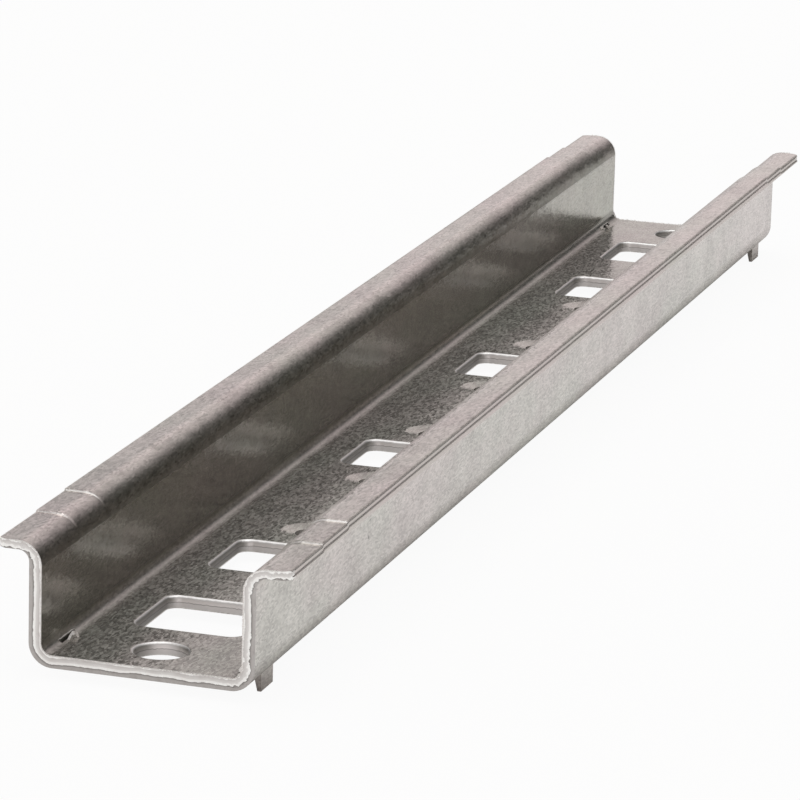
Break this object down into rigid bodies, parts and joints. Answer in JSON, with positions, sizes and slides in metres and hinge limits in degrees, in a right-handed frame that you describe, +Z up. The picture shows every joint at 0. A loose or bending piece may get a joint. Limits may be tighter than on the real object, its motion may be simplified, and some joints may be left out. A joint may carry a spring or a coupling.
{
  "type": "din rail",
  "caption": "Slotted top-hat mounting rail in zinc-coated steel, 35 mm wide and 15 mm deep, with square slots, screw bores and corner lugs.",
  "frame": {"origin": "below the middle of the rail, level with the tips of its lugs", "axes": "+X across the rail, +Y along it, +Z up out of the open channel"},
  "size_m": [0.035, 0.2416, 0.0162],
  "materials": {
    "zinc_coated_steel": "satin, spangled zinc"
  },
  "bodies": {
    "root": {"din_rail": "zinc_coated_steel"}
  },
  "joints": []
}
